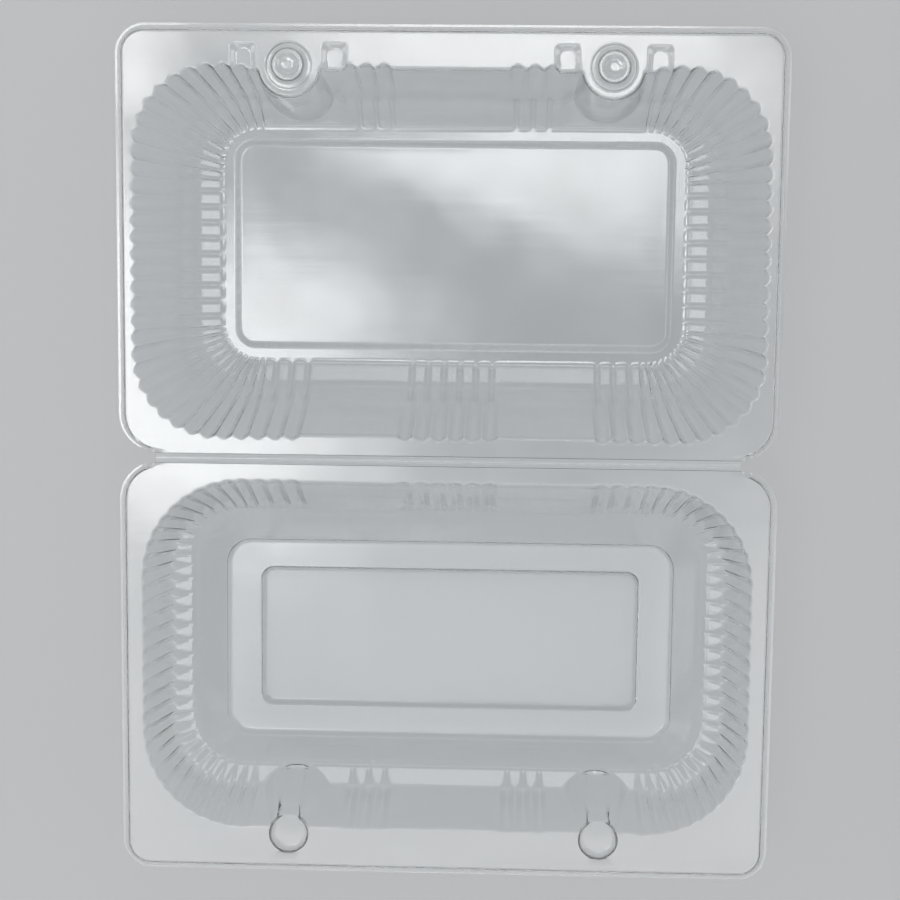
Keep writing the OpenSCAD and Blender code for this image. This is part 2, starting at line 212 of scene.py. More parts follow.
# Places on the way down the lid's wall: share of the way, share of bars
LID_MOUTH_END = 0.08
LID_UPPER = ((0.45, 0.06), (0.6, 0.12), (0.78, 0.24))
LID_KNEE_START = (0.92, 0.4)
LID_KNEE_END = (0.1, 0.6)
LID_LOWER = ((0.25, 0.8), (0.45, 0.9), (0.65, 1))
SHOULDER_START = (0.72, 1)
SHOULDER_END = 0.3
PLATFORM_SLOPE = (0.45, 0.6, 0.75, 0.9, 0.97)

# How finely curves and areas are cut
ROUND_STEPS = 6
KNEE_STEPS = 9
SHOULDER_STEPS = 8
RIM_STEPS = 5
PLAIN_STEPS = 10
ARC_STEPS = 49
CORNER_STEPS = 6
LINE_STEPS = 7
PLATE_CORNER_STEPS = 10
OUTLINE_FRONT_STEPS = 20
OUTLINE_SIDE_STEPS = 24
OUTLINE_CORNER_STEPS = 22
CIRCLE_STEPS = 56
SOCKET_STEPS = 48
RAMP_STEPS = 5
NOTCH_LEG_STEPS = 5
NOTCH_BEND_STEPS = 8
WEB_STEPS = 32
FLOOR_STEPS = 128
LEG_STEP = 0.1
PANEL_DOTS = 5.0
CROWN_DOTS = 6.0
DOT_MARGIN = 1.5
# Fills start as triangles over the whole hull of their points
FILL_KIND = 0
FILL_TOLERANCE = 1e-7
# Edges that turn by more degrees than this are shaded sharp
SHEET_SHARP = 55
WEB_SHARP = 40

# Clear sheet: the cloud is a noise that drives both its roughness and its tint
SHEET_IOR = 1.57
SHEET_CLEAR = 0.97
CLOUD_SCALE = 42
CLOUD_RANGE = (0.3, 0.7)
HAZE_RANGE = (0.05, 0.15)
CLOUD_TINTS = ((0.945, 0.962, 0.968, 1), (0.965, 0.974, 0.977, 1))
WAVE_SCALE = 24
WAVE_H = 0.25
STREAK_STRETCH = (14, 330, 40)
STREAK_H = 0.012
SHADOW_TINT = (0.9, 0.91, 0.915, 1)

# Studio, in metres and watts
FLOOR_R = 1.6
FLOOR_COLOUR = (0.57, 0.575, 0.585, 1)
FLOOR_ROUGHNESS = 0.8
# The floor lies this far under the foot
FLOOR_GAP = 0.05 * MM
# Share of a lamp's width over which each edge fades
SOFT_EDGE = 0.3
OVERHEAD = 1.4
# The lamps low round the part aim here
LOW_TARGET = (0, 0, 0.03)
SKY_COLOUR = (0.97, 0.98, 1.0, 1)
SKY_STRENGTH = 0.22

# Camera, with its place in metres and its turn in degrees
SENSOR_W = 36
LENS = 69.2
CLIP_RANGE = (0.01, 10)
CAMERA_PLACE = (0.0170, 0.0604, 0.5318)
CAMERA_TURN = (-6.582, 1.944, 0.612)

# The loops that round a mouth, with the one that supports them
MOUTH_LOOPS = 1 + ROUND_STEPS
MOUTH_X = HALF_W / 2 - SIDE_FLANGE
MOUTH_Y = HALF_L - FRONT_FLANGE

# A ring is one level of a cavity wall. These are the places of its values:
# half width, hinge edge, front edge, corner radius, height, flute rise, setback behind the snaps,
# pillar radius, share of bars in the flutes' shape, share of the flutes' full depth
SIDE, HINGE, FRONT, CORNER, HEIGHT, RISE, SETBACK, PILLAR, BARS, DEPTH = range(10)


def ring(pillar, drop, side_in, hinge_in, front_in, corner_r,
         rise=FLUTE_RISE, setback=0.0, bars=0.0, depth=1.0):
    """A ring at a drop below the flange, set in from the tray's mouth on each side."""
    pillar_r = pillar[0] + pillar[1] * drop / HALF_H
    return np.array([MOUTH_X - side_in, HINGE_FLANGE + hinge_in, MOUTH_Y - front_in, corner_r,
                     HALF_H - drop, rise, setback, pillar_r, bars, depth])


def grown(r, out):
    """A ring that reaches further out on all sides, at the same height."""
    return r + np.array([out, -out, out, out, 0, 0, 0, -out, 0, 0])


def step_ring(width, length, corner_r, z):
    """A plain ring round a step of the lid's platform."""
    return np.array([width / 2, PLATFORM_MID - length / 2, PLATFORM_MID + length / 2, corner_r,
                     z, 0, 0, 0, 0, 1])


def between(a, b, share, bars=None, depth=None):
    """A ring or a point at a share of the way from one to another."""
    r = a + (b - a) * share
    if bars is not None:
        r[BARS] = bars
    if depth is not None:
        r[DEPTH] = depth
    return r


def bend(before, corner, after, shares):
    """Rings or points along a smooth turn from one line into the next."""
    before, corner, after = (np.array(p) for p in (before, corner, after))
    return [(1 - t) ** 2 * before + 2 * t * (1 - t) * corner + t * t * after for t in shares]


def rounded(before, corner, after, steps=ROUND_STEPS):
    """A whole turn in even steps, with both of its ends."""
    return bend(before, corner, after, np.linspace(0, 1, steps))


mouth = ring(TRAY_PILLAR, drop=0, side_in=0, hinge_in=0, front_in=0, corner_r=23.5, depth=0.85)
tray_knee = ring(TRAY_PILLAR, drop=33, side_in=9.7, hinge_in=10.4, front_in=7.4, corner_r=18,
                 setback=1.5, bars=0.6, depth=0.75)
tray_floor = ring(TRAY_PILLAR, drop=HALF_H - SHEET, side_in=18, hinge_in=18.4, front_in=13.1, corner_r=12,
                  bars=1)
lid_mouth = ring(LID_PILLAR, drop=0, side_in=1.8, hinge_in=0, front_in=2.2, corner_r=29,
                 rise=LID_MOUTH_RISE)
lid_knee = ring(LID_PILLAR, drop=19, side_in=6.4, hinge_in=8.8, front_in=8.2, corner_r=20,
                rise=LID_KNEE_RISE, bars=0.5)
shoulder = ring(LID_PILLAR, drop=23, side_in=13, hinge_in=11.6, front_in=15.3, corner_r=15, rise=0)
platform_top = step_ring(PLATFORM_W, PLATFORM_L, PLATFORM_R, SHEET + 2 * STEP_H)
crown_top = step_ring(CROWN_W, CROWN_L, CROWN_R, SHEET + STEP_H)

# Both halves share their flutes, so the straight runs fit every level of the walls
fluted = [mouth, tray_knee, tray_floor, lid_mouth, lid_knee, shoulder]
SIDE_FRONT = min(r[FRONT] - r[CORNER] for r in fluted)
SIDE_HINGE = max(r[HINGE] + r[CORNER] for r in fluted)
STRAIGHT_X = min(r[SIDE] - r[CORNER] for r in fluted)
GROUP_X = WINDOW_X + FRONT_GROUP * FLUTE_PITCH
FRONT_X = min(STRAIGHT_X, SNAP_X + SNAP_TO_CORNER)
HINGE_GROUP_X = HINGE_GROUP * FLUTE_PITCH
PANEL_X = HINGE_GROUP_X + HINGE_PANEL_W
HINGE_FLUTES = math.floor((STRAIGHT_X - PANEL_X) / FLUTE_PITCH)
HINGE_X = PANEL_X + HINGE_FLUTES * FLUTE_PITCH


def turn_length(side, front, radius, x, y):
    """Length of the way round a corner, from a place on the front to a place on the side."""
    return (side - radius - x) + radius * math.pi / 2 + (front - radius - y)


def turn(side, front, radius, x, y, share):
    """Place and outward direction at a share of the way round a corner."""
    before = side - radius - x
    way = share * turn_length(side, front, radius, x, y) - before
    angle = way / radius
    if way < 0:
        return np.array([x + before + way, front]), np.array([0, 1])
    if angle < math.pi / 2:
        out = np.array([math.sin(angle), math.cos(angle)])
        return np.array([side - radius, front - radius]) + radius * out, out
    return np.array([side, front - radius - (way - radius * math.pi / 2)]), np.array([1, 0])


def lobe(phase):
    """From an inward ridge at 0, through a broad outward lobe, to the next ridge at 1."""
    wave = math.hypot(math.sin(math.pi * phase), LOBE_SOFT) - LOBE_SOFT
    return 2 * wave / (math.hypot(1, LOBE_SOFT) - LOBE_SOFT) - 1


def bar(phase):
    """From the middle of a broad bar at 0, through a narrow groove, to the middle of the next bar at 1."""
    groove = math.exp(-((phase - 0.5) / GROOVE_W) ** 2)
    return BAR_CROWN * math.sin(math.pi * phase) ** 2 + (2 - BAR_CROWN) * groove - 1


def flute_share(phase, bars, depth):
    """The lobes of the upper wall turn into bars with narrow grooves. Shallow flutes keep their ridges."""
    return depth * (1 + (1 - bars) * lobe(phase) + bars * bar(phase)) - 1


def flute_stations(run, start, end, count):
    """Stations of a group of flutes: each a run of the wall, a place along it and a phase of its flute."""
    return [(run, start + (end - start) * (i + phase) / count, phase)
            for i in range(count) for phase in FLUTE_PHASES]


def plain_stations(run, start, end):
    """Stations of a plain panel, level with the ridges."""
    return [(run, x, 0.0) for x in np.linspace(start, end, PLAIN_STEPS)]


FRONT_TURN_FLUTES = round(
    turn_length(mouth[SIDE], mouth[FRONT], mouth[CORNER], FRONT_X, SIDE_FRONT) / FLUTE_PITCH)
SIDE_FLUTES = round((SIDE_FRONT - SIDE_HINGE) / FLUTE_PITCH)
HINGE_TURN_FLUTES = round(
    turn_length(mouth[SIDE], -mouth[HINGE], mouth[CORNER], HINGE_X, -SIDE_HINGE) / FLUTE_PITCH)
BEFORE_SNAP = (plain_stations("front", 0, WINDOW_X - BLEND)
               + flute_stations("front", WINDOW_X, GROUP_X, FRONT_GROUP)
               + [("front", GROUP_X, 0.0)])
AFTER_SNAP = (flute_stations("front turn", 0, 1, FRONT_TURN_FLUTES)
              + flute_stations("side", SIDE_FRONT, SIDE_HINGE, SIDE_FLUTES)
              + flute_stations("hinge turn", 0, 1, HINGE_TURN_FLUTES)
              + flute_stations("hinge", HINGE_X, PANEL_X, HINGE_FLUTES)
              + [("hinge", PANEL_X, 0.0)]
              + plain_stations("hinge", PANEL_X - BLEND, HINGE_GROUP_X + BLEND)
              + flute_stations("hinge", HINGE_GROUP_X, 0, HINGE_GROUP)
              + [("hinge", 0, 0.0)])


def station_point(r, station):
    """The point of a ring at a station, moved in or out by its flute."""
    run, position, phase = station
    if run == "front":
        place, out = np.array([position, r[FRONT]]), np.array([0, 1])
    elif run == "front turn":
        place, out = turn(r[SIDE], r[FRONT], r[CORNER], FRONT_X, SIDE_FRONT, position)
    elif run == "side":
        place, out = np.array([r[SIDE], position]), np.array([1, 0])
    elif run == "hinge turn":
        place, out = turn(r[SIDE], -r[HINGE], r[CORNER], HINGE_X, -SIDE_HINGE, 1 - position)
        place, out = place * (1, -1), out * (1, -1)
    else:
        place, out = np.array([position, r[HINGE]]), np.array([0, -1])
    return place + out * flute_share(phase, r[BARS], r[DEPTH]) * r[RISE]


def smooth(share):
    """A share that starts and ends gently."""
    share = np.clip(share, 0, 1)
    return share * share * (3 - 2 * share)


def snap_points(r):
    """The plain wall behind a snap, which steps back gently, and the pillar that stands in from it."""
    radius = max(r[PILLAR], CHORD_MIN + PILLAR_ROUND)
    ridge = r[FRONT] - r[RISE]

    def wall(x):
        fade_in = smooth((x - GROUP_X) / SETBACK_RUN)
        fade_out = smooth((FRONT_X - x) / (FRONT_X - SNAP_X))
        return ridge + r[SETBACK] * fade_in * fade_out

    depth = SNAP_Y - wall(SNAP_X - radius)
    widest = FRONT_X - BLEND - SNAP_X - PILLAR_ROUND / 2
    half = min(max(math.sqrt(max(radius ** 2 - depth ** 2, 0)), CHORD_MIN), widest)
    side = math.asin(half / radius) - PILLAR_ROUND / max(radius, TRAY_PILLAR[0])
    arc = []
    for angle in np.linspace(-side, side, ARC_STEPS):
        x = SNAP_X + radius * math.sin(angle)
        arc.append((x, min(SNAP_Y - radius * math.cos(angle), wall(x))))
    edge = min(half + PILLAR_ROUND, widest + PILLAR_ROUND / 3)

    def corner(sign, end):
        line, root = ((x, wall(x)) for x in (SNAP_X + sign * edge, SNAP_X + sign * half))
        return bend(line, root, end, np.linspace(0, 1, CORNER_STEPS, endpoint=False))

    def straight(start, end):
        return [(x, wall(x)) for x in np.linspace(start, end, LINE_STEPS, endpoint=False)]

    lead = straight(GROUP_X + BLEND / 2, SNAP_X - edge)
    trail = straight(FRONT_X - BLEND / 2, SNAP_X + edge)
    return lead + corner(-1, arc[0]) + arc + corner(1, arc[-1])[::-1] + trail[::-1]


def wall_loop(r):
    """All points of one level, clockwise from above, starting in the middle of the front."""
    before_snap = [station_point(r, station) for station in BEFORE_SNAP]
    after_snap = [station_point(r, station) for station in AFTER_SNAP]
    right = np.array([tuple(p) for p in before_snap + snap_points(r) + after_snap])
    left = right[-2:0:-1] * (-1, 1)
    xy = np.vstack([right, left])
    return np.column_stack([xy, np.full(len(xy), r[HEIGHT])])


def plate_loop(r, inset, z):
    """A rounded rectangle inside a ring, clockwise from above."""
    radius = max(r[CORNER] - inset, STEP_ROUND)
    x, low, high = r[SIDE] - inset - radius, r[HINGE] + inset + radius, r[FRONT] - inset - radius
    points = []
    for centre, start in (((x, high), 0), ((x, low), 90), ((-x, low), 180), ((-x, high), 270)):
        for angle in np.radians(np.linspace(start, start + 90, PLATE_CORNER_STEPS)):
            points.append((centre[0] + radius * math.sin(angle), centre[1] + radius * math.cos(angle), z))
    return np.array(points)


def outline_loop(inset, dz):
    """The edge of a half at one place across its rim. The rim fades out flat towards the hinge."""
    hinge_inset = inset * HINGE_RIM
    points = []

    def side_points(a, b, count):
        for share in np.linspace(0, 1, count, endpoint=False):
            points.append(between(np.array(a), np.array(b), share))

    def corner_points(centre, rx, ry, start):
        for angle in np.radians(np.linspace(start, start + 90, OUTLINE_CORNER_STEPS, endpoint=False)):
            points.append(np.array([centre[0] + rx * math.sin(angle), centre[1] + ry * math.cos(angle)]))

    x = HALF_W / 2 - inset
    front, hinge = HALF_L - inset, WEB_W / 2 + hinge_inset
    front_cx, front_cy = HALF_W / 2 - FRONT_CORNER_R, HALF_L - FRONT_CORNER_R
    hinge_cx, hinge_cy = HALF_W / 2 - HINGE_CORNER_R, WEB_W / 2 + HINGE_CORNER_R
    front_r = FRONT_CORNER_R - inset
    hinge_rx, hinge_ry = HINGE_CORNER_R - inset, HINGE_CORNER_R - hinge_inset
    side_points((0, front), (front_cx, front), OUTLINE_FRONT_STEPS)
    corner_points((front_cx, front_cy), front_r, front_r, 0)
    side_points((x, front_cy), (x, hinge_cy), OUTLINE_SIDE_STEPS)
    corner_points((hinge_cx, hinge_cy), hinge_rx, hinge_ry, 90)
    side_points((hinge_cx, hinge), (0, hinge), OUTLINE_SIDE_STEPS)
    right = np.array(points)
    loop = np.vstack([right, [[0, hinge]], right[:0:-1] * (-1, 1)])
    drop = np.where(loop[:, 1] < hinge_cy, smooth((np.abs(loop[:, 0]) - HINGE_W / 2) / RIM_FADE), 1.0)
    return np.column_stack([loop, HALF_H + dz * drop])


def circle_loop(x, y, radius, z):
    """A level circle, clockwise from above."""
    angles = np.linspace(0, 2 * math.pi, CIRCLE_STEPS, endpoint=False)
    heights = np.full(CIRCLE_STEPS, z)
    return np.column_stack([x + radius * np.sin(angles), y + radius * np.cos(angles), heights])


def inside(points, loop):
    """Which points lie inside a closed loop, by counting crossings."""
    x, y = points[:, 0:1], points[:, 1:2]
    ax, ay = loop[:, 0], loop[:, 1]
    bx, by = np.roll(ax, -1), np.roll(ay, -1)
    crosses = (ay > y) != (by > y)
    with np.errstate(divide="ignore", invalid="ignore"):
        at = ax + (y - ay) * (bx - ax) / (by - ay)
    return (np.sum(crosses & (x < at), axis=1) % 2).astype(bool)


class Face:
    """The upper face of a formed sheet, put together from strips between loops and from filled areas."""

    def __init__(self):
        self.points = np.zeros((0, 3))
        self.faces = []

    def add(self, points):
        """Adds points and returns their numbers."""
        start = len(self.points)
        self.points = np.vstack([self.points, points])
        return list(range(start, len(self.points)))

    def strips(self, loops):
        """Joins loops of equal count, from the outer or upper one inwards. Returns the first and last."""
        added = [self.add(loop) for loop in loops]
        for outer, inner in zip(added, added[1:]):
            for j in range(len(outer)):
                k = (j + 1) % len(outer)
                self.faces.append((outer[j], inner[j], inner[k], outer[k]))
        return added[0], added[-1]

    def fill(self, boundary, hole=None, loops=(), lines=(), dots=None):
        """Fills the area within a boundary, past a hole, through further loops, lines and dots."""
        closed = [boundary] + ([hole] if hole else []) + [self.add(loop) for loop in loops]
        open_lines = [self.add(line) for line in lines]
        extra = self.add(dots) if dots is not None else []
        used = [i for group in closed + open_lines for i in group] + extra
        index = {i: n for n, i in enumerate(used)}
        edges = [(index[g[j]], index[g[(j + 1) % len(g)]]) for g in closed for j in range(len(g))]
        edges += [(index[a], index[b]) for g in open_lines for a, b in zip(g, g[1:])]
        flat = [Vector(self.points[i][:2]) for i in used]
        _, _, triangles, origins, _, _ = delaunay_2d_cdt(flat, edges, [], FILL_KIND, FILL_TOLERANCE)
        back = [used[o[0]] if o else None for o in origins]
        triangles = [t for t in triangles if None not in (back[t[0]], back[t[1]], back[t[2]])]
        corners = np.array([[self.points[back[v]][:2] for v in t] for t in triangles])
        middle = corners.mean(axis=1)
        keep = inside(middle, self.points[boundary])
        if hole:
            keep &= ~inside(middle, self.points[hole])
        for t, c, kept in zip(triangles, corners, keep):
            if kept:
                a, b = c[1] - c[0], c[2] - c[0]
                t = [back[v] for v in t]
                self.faces.append(tuple(t if a[0] * b[1] - a[1] * b[0] > 0 else t[::-1]))


def lowered_at_notches(loop, rank):
    """A loop of the tray's wall, sunk round the mouth where the notches beside the studs open into it."""
    loop = loop.copy()
    if rank >= MOUTH_LOOPS:
        return loop
    draft = (mouth[FRONT] - tray_knee[FRONT]) / (mouth[HEIGHT] - tray_knee[HEIGHT])
    on_front = loop[:, 1] > MOUTH_Y - PILLAR_ROUND
    for side in (-1, 1):
        middle = SNAP_X + side * NOTCH_FROM_SNAP
        from_middle = np.abs(np.abs(loop[:, 0]) - middle)
        share = np.clip((NOTCH_W / 2 - from_middle) / NOTCH_RUN, 0, 1) * on_front
        loop[:, 2] -= NOTCH_H * share
        loop[:, 1] -= NOTCH_H * draft * share
    return loop


def gutter_drop(distance):
    """Depth of the socket's floor, and of the gutter beyond it, at a distance from the socket's middle."""
    return float(np.interp(distance, FLOOR_REACHES, FLOOR_DROPS))


def gutter_distance(drop):
    """Distance of the gutter's floor from the socket's middle at a depth."""
    return np.interp(drop, FLOOR_DROPS, FLOOR_REACHES)


def lowered_at_gutters(loop, rank):
    """A loop of the lid's wall, set back where the gutters run down the pillars.

    The loops round the mouth lie on the ramp there.
    """
    loop = loop.copy()
    for side in (-1, 1):
        away = loop[:, :2] - (side * SNAP_X, SNAP_Y)
        within = np.hypot(away[:, 0], away[:, 1]) < GUTTER_REACH + PILLAR_ROUND
        near = within & (away[:, 1] < -STUD_CROWN_R)
        share = np.clip((GUTTER_BRIM - np.abs(away[:, 0])) / GUTTER_SIDE, 0, 1) * near
        if rank < MOUTH_LOOPS:
            distance = np.full(len(loop), RAMP_REACH - (MOUTH_LOOPS - 1 - rank) * EDGE_SUPPORT)
            drop = np.full(len(loop), gutter_drop(distance[0]))
        else:
            drop = HALF_H - loop[:, 2]
            distance = np.minimum(gutter_distance(drop), -away[:, 1])
            distance[drop > GUTTER_DROP] = -away[:, 1][drop > GUTTER_DROP]
        loop[:, 1] += (SNAP_Y - distance - loop[:, 1]) * share
        loop[:, 2] += (HALF_H - drop - loop[:, 2]) * share
    return loop


def rim_loops():
    """Loops from the edge of a half, over its lip and up the rim's slope, to the flat of the flange."""
    foot, top = np.array([LIP_W, -RIM_DROP]), np.array([LIP_W + RIM_RUN, 0.0])
    flat = LIP_W + RIM_RUN + RIM_ROUND
    profile = [(0, -RIM_DROP), (LIP_W / 2, -RIM_DROP)]
    profile += rounded((LIP_W - RIM_ROUND, -RIM_DROP), foot, between(foot, top, RIM_FOOT_END), RIM_STEPS)
    profile += rounded(between(foot, top, RIM_TOP_START), top, (flat, 0), RIM_STEPS)
    profile += [(flat + EDGE_SUPPORT, 0)]
    return [outline_loop(inset, dz) for inset, dz in profile]


def stud_loops(x):
    """The circles of a stud, from its foot to the middle of its dimple."""
    return [circle_loop(x, SNAP_Y, radius, HALF_H + dz) for radius, dz in STUD_PROFILE]


def notch_lines(x):
    """The edges of one notch, from the brim round it to its floor. All are open towards the mouth."""
    end = MOUTH_Y + NOTCH_REACH
    start = MOUTH_Y + MOUTH_ROUND + FLUTE_RISE + EDGE_SUPPORT
    lines = []
    for inset, dz, corner_r in NOTCH_PROFILE:
        half, top = NOTCH_W / 2 - inset, end - inset
        leg = [(half, y) for y in np.linspace(start, top - corner_r, NOTCH_LEG_STEPS, endpoint=False)]
        arc = [(half - corner_r + corner_r * math.cos(a), top - corner_r + corner_r * math.sin(a))
               for a in np.linspace(0, math.pi / 2, NOTCH_BEND_STEPS)]
        side = leg + arc
        points = [(x - px, py) for px, py in side] + [(x + px, py) for px, py in side[::-1]]
        lines.append(np.array([(px, py, HALF_H + dz) for px, py in points]))
    return lines


def socket_lines(x):
    """The edges of one socket and its gutter, as open lines that end near the mouth."""
    lines = []
    mouth_end = RAMP_REACH - (MOUTH_LOOPS + 1) * EDGE_SUPPORT
    land_r = lid_mouth[PILLAR] - LAND_ROUND - EDGE_SUPPORT / 3
    for radius, half, share in SOCKET_PROFILE:
        start = math.asin(half / radius)
        z = HALF_H - SOCKET_H * share
        arc = [(x - radius * math.sin(a), SNAP_Y - radius * math.cos(a), z)
               for a in np.linspace(start, 2 * math.pi - start, SOCKET_STEPS)]
        leg_end = min(mouth_end, math.sqrt(land_r ** 2 - half ** 2))
        leg_foot = radius * math.cos(start)
        count = max(1, round((leg_end - leg_foot) / LEG_STEP))
        leg = np.linspace(leg_end, leg_foot, count, endpoint=False)

        def leg_points(side):
            return [(x + side * half, SNAP_Y - y, HALF_H - gutter_drop(y) * share) for y in leg]

        lines.append(np.array(leg_points(-1) + arc + leg_points(1)[::-1]))
    across = np.linspace(RAMP_MARGIN - GUTTER_FOOT, GUTTER_FOOT - RAMP_MARGIN, RAMP_STEPS)
    for y in (STUD_CROWN_R - EDGE_SUPPORT, STUD_CROWN_R, STUD_CROWN_R + EDGE_SUPPORT):
        lines.append(np.array([(x + px, SNAP_Y - y, HALF_H - gutter_drop(y)) for px in across]))
    return lines


def dots_inside(loop, pitch, z):
    """A level grid of points within the box round a loop."""
    low, high = loop[:, :2].min(axis=0), loop[:, :2].max(axis=0)
    grid = np.array([(x, y) for x in np.arange(low[0] + pitch, high[0], pitch)
                     for y in np.arange(low[1] + pitch, high[1], pitch)])
    return np.column_stack([grid, np.full(len(grid), z)])


def half_face(walls, lowered, flange_loops, flange_lines):
    """Rim, flange and walls of one half. Returns the face and the innermost loop of its walls."""
    face = Face()
    _, flange_edge = face.strips(rim_loops())
    brim, inner = face.strips([lowered(wall_loop(r), rank) for rank, r in enumerate(walls)])
    face.fill(flange_edge, brim, flange_loops, flange_lines)
    return face, inner


def tray_face():
    """The tray: its walls, with studs and notches in the flange, and its floor with the raised panel."""
    walls = [grown(mouth, MOUTH_ROUND + EDGE_SUPPORT)]
    walls += rounded(grown(mouth, MOUTH_ROUND), mouth, between(mouth, tray_knee, TRAY_MOUTH_END))
    walls += [between(mouth, tray_knee, *place) for place in TRAY_UPPER]
    walls += rounded(between(mouth, tray_knee, *TRAY_KNEE_START), tray_knee,
                     between(tray_knee, tray_floor, *TRAY_KNEE_END), KNEE_STEPS)
    walls += [between(tray_knee, tray_floor, *place) for place in TRAY_LOWER]
    walls += rounded(between(tray_knee, tray_floor, *TRAY_FOOT_START), tray_floor,
                     grown(tray_floor, -FOOT_ROUND))
    walls += [grown(tray_floor, -FOOT_ROUND - EDGE_SUPPORT)]
    studs = [loop for side in (-1, 1) for loop in stud_loops(side * SNAP_X)]
    notches = [line for side in (-1, 1) for way in (-1, 1)
               for line in notch_lines(side * (SNAP_X + way * NOTCH_FROM_SNAP))]
    face, floor_edge = half_face(walls, lowered_at_notches, studs, notches)

    panel = grown(tray_floor, -PANEL_INSET)
    panel[CORNER] = PANEL_R
    floor_z = tray_floor[HEIGHT]
    loops = [plate_loop(panel, inset, floor_z + dz) for inset, dz in PANEL_PROFILE]
    dots = dots_inside(plate_loop(panel, PANEL_RISE + DOT_MARGIN, 0), PANEL_DOTS, floor_z + PANEL_RISE)
    middle = (panel[HINGE] + panel[FRONT]) / 2
    across = 1 - (dots[:, 0] / panel[SIDE]) ** 2
    along = 1 - ((dots[:, 1] - middle) / (panel[FRONT] - middle)) ** 2
    dots[:, 2] += PANEL_DOME * across * along
    face.fill(floor_edge, loops=loops, dots=dots)
    return face


def lid_face():
    """The lid before it is mirrored: its walls, with sockets in the flange, and its two-step platform."""
    walls = [grown(lid_mouth, MOUTH_ROUND + EDGE_SUPPORT)]
    walls += rounded(grown(lid_mouth, MOUTH_ROUND), lid_mouth, between(lid_mouth, lid_knee, LID_MOUTH_END))
    # The land round a socket is narrow, so the mouth is rounded less there
    for r, share in zip(walls, np.linspace(1, 0, MOUTH_LOOPS)):
        r[PILLAR] = max(r[PILLAR], lid_mouth[PILLAR] - LAND_ROUND * share)
    walls += [between(lid_mouth, lid_knee, *place) for place in LID_UPPER]
    walls += rounded(between(lid_mouth, lid_knee, *LID_KNEE_START), lid_knee,
                     between(lid_knee, shoulder, *LID_KNEE_END))
    walls += [between(lid_knee, shoulder, *place) for place in LID_LOWER]
    walls += rounded(between(lid_knee, shoulder, *SHOULDER_START), shoulder,
                     between(shoulder, platform_top, SHOULDER_END), SHOULDER_STEPS)
    walls += [between(shoulder, platform_top, share) for share in PLATFORM_SLOPE]
    sockets = [line for side in (-1, 1) for line in socket_lines(side * SNAP_X)]
    face, edge = half_face(walls, lowered_at_gutters, (), sockets)

    loops = [plate_loop(platform_top, inset, platform_top[HEIGHT] + dz) for inset, dz in STEP_PROFILE]
    loops += [plate_loop(crown_top, inset, crown_top[HEIGHT] + dz)
              for inset, dz in STEP_BRIM + STEP_PROFILE]
    dots = dots_inside(plate_loop(crown_top, STEP_RUN + DOT_MARGIN, 0), CROWN_DOTS, SHEET)
    face.fill(edge, loops=loops, dots=dots)
    return face


def mesh_object(name, points, faces):
    """A linked object made from points in millimetres."""
    mesh = bpy.data.meshes.new(name)
    mesh.from_pydata((np.array(points) * MM).tolist(), [], faces)
    mesh.validate()
    obj = bpy.data.objects.new(name, mesh)
    bpy.context.scene.collection.objects.link(obj)
    return obj


def shade(mesh, sharp):
    """Smooth shading, apart from edges that turn by more than an angle in degrees."""
    mesh.shade_smooth()
    mesh.set_sharp_from_angle(angle=math.radians(sharp))


def sheet_object(name, face, flip=False):
    """A closed sheet below a face. flip mirrors it across the fold."""
    points = face.points.copy()
    faces = face.faces
    if flip:
        points[:, 1] *= -1
        faces = [f[::-1] for f in faces]
    obj = mesh_object(name, points, faces)
    solid = obj.modifiers.new("thickness", "SOLIDIFY")
    solid.thickness = SHEET * MM
    solid.offset = -1
    bpy.context.view_layer.update()
    obj.data = bpy.data.meshes.new_from_object(obj.evaluated_get(bpy.context.evaluated_depsgraph_get()))
    obj.modifiers.clear()
    obj.data.name = name
    shade(obj.data, SHEET_SHARP)
    return obj


def web_object(name):
    """The thin web between the two flanges, sagging a little between them."""
    share = np.linspace(0, 1, WEB_STEPS + 1)
    y = (0.5 - share) * WEB_W
    top = HALF_H - WEB_SAG * np.sin(math.pi * share)
    section = np.vstack([np.column_stack([y, top]), np.column_stack([y, top - SHEET])[::-1]])
    count = len(section)
    points = [(side * HINGE_W / 2, py, pz) for side in (-1, 1) for py, pz in section]
    faces = [(j, (j + 1) % count, count + (j + 1) % count, count + j) for j in range(count)]
    faces += [tuple(range(count))[::-1], tuple(range(count, 2 * count))]
    obj = mesh_object(name, points, faces)
    shade(obj.data, WEB_SHARP)
    return obj


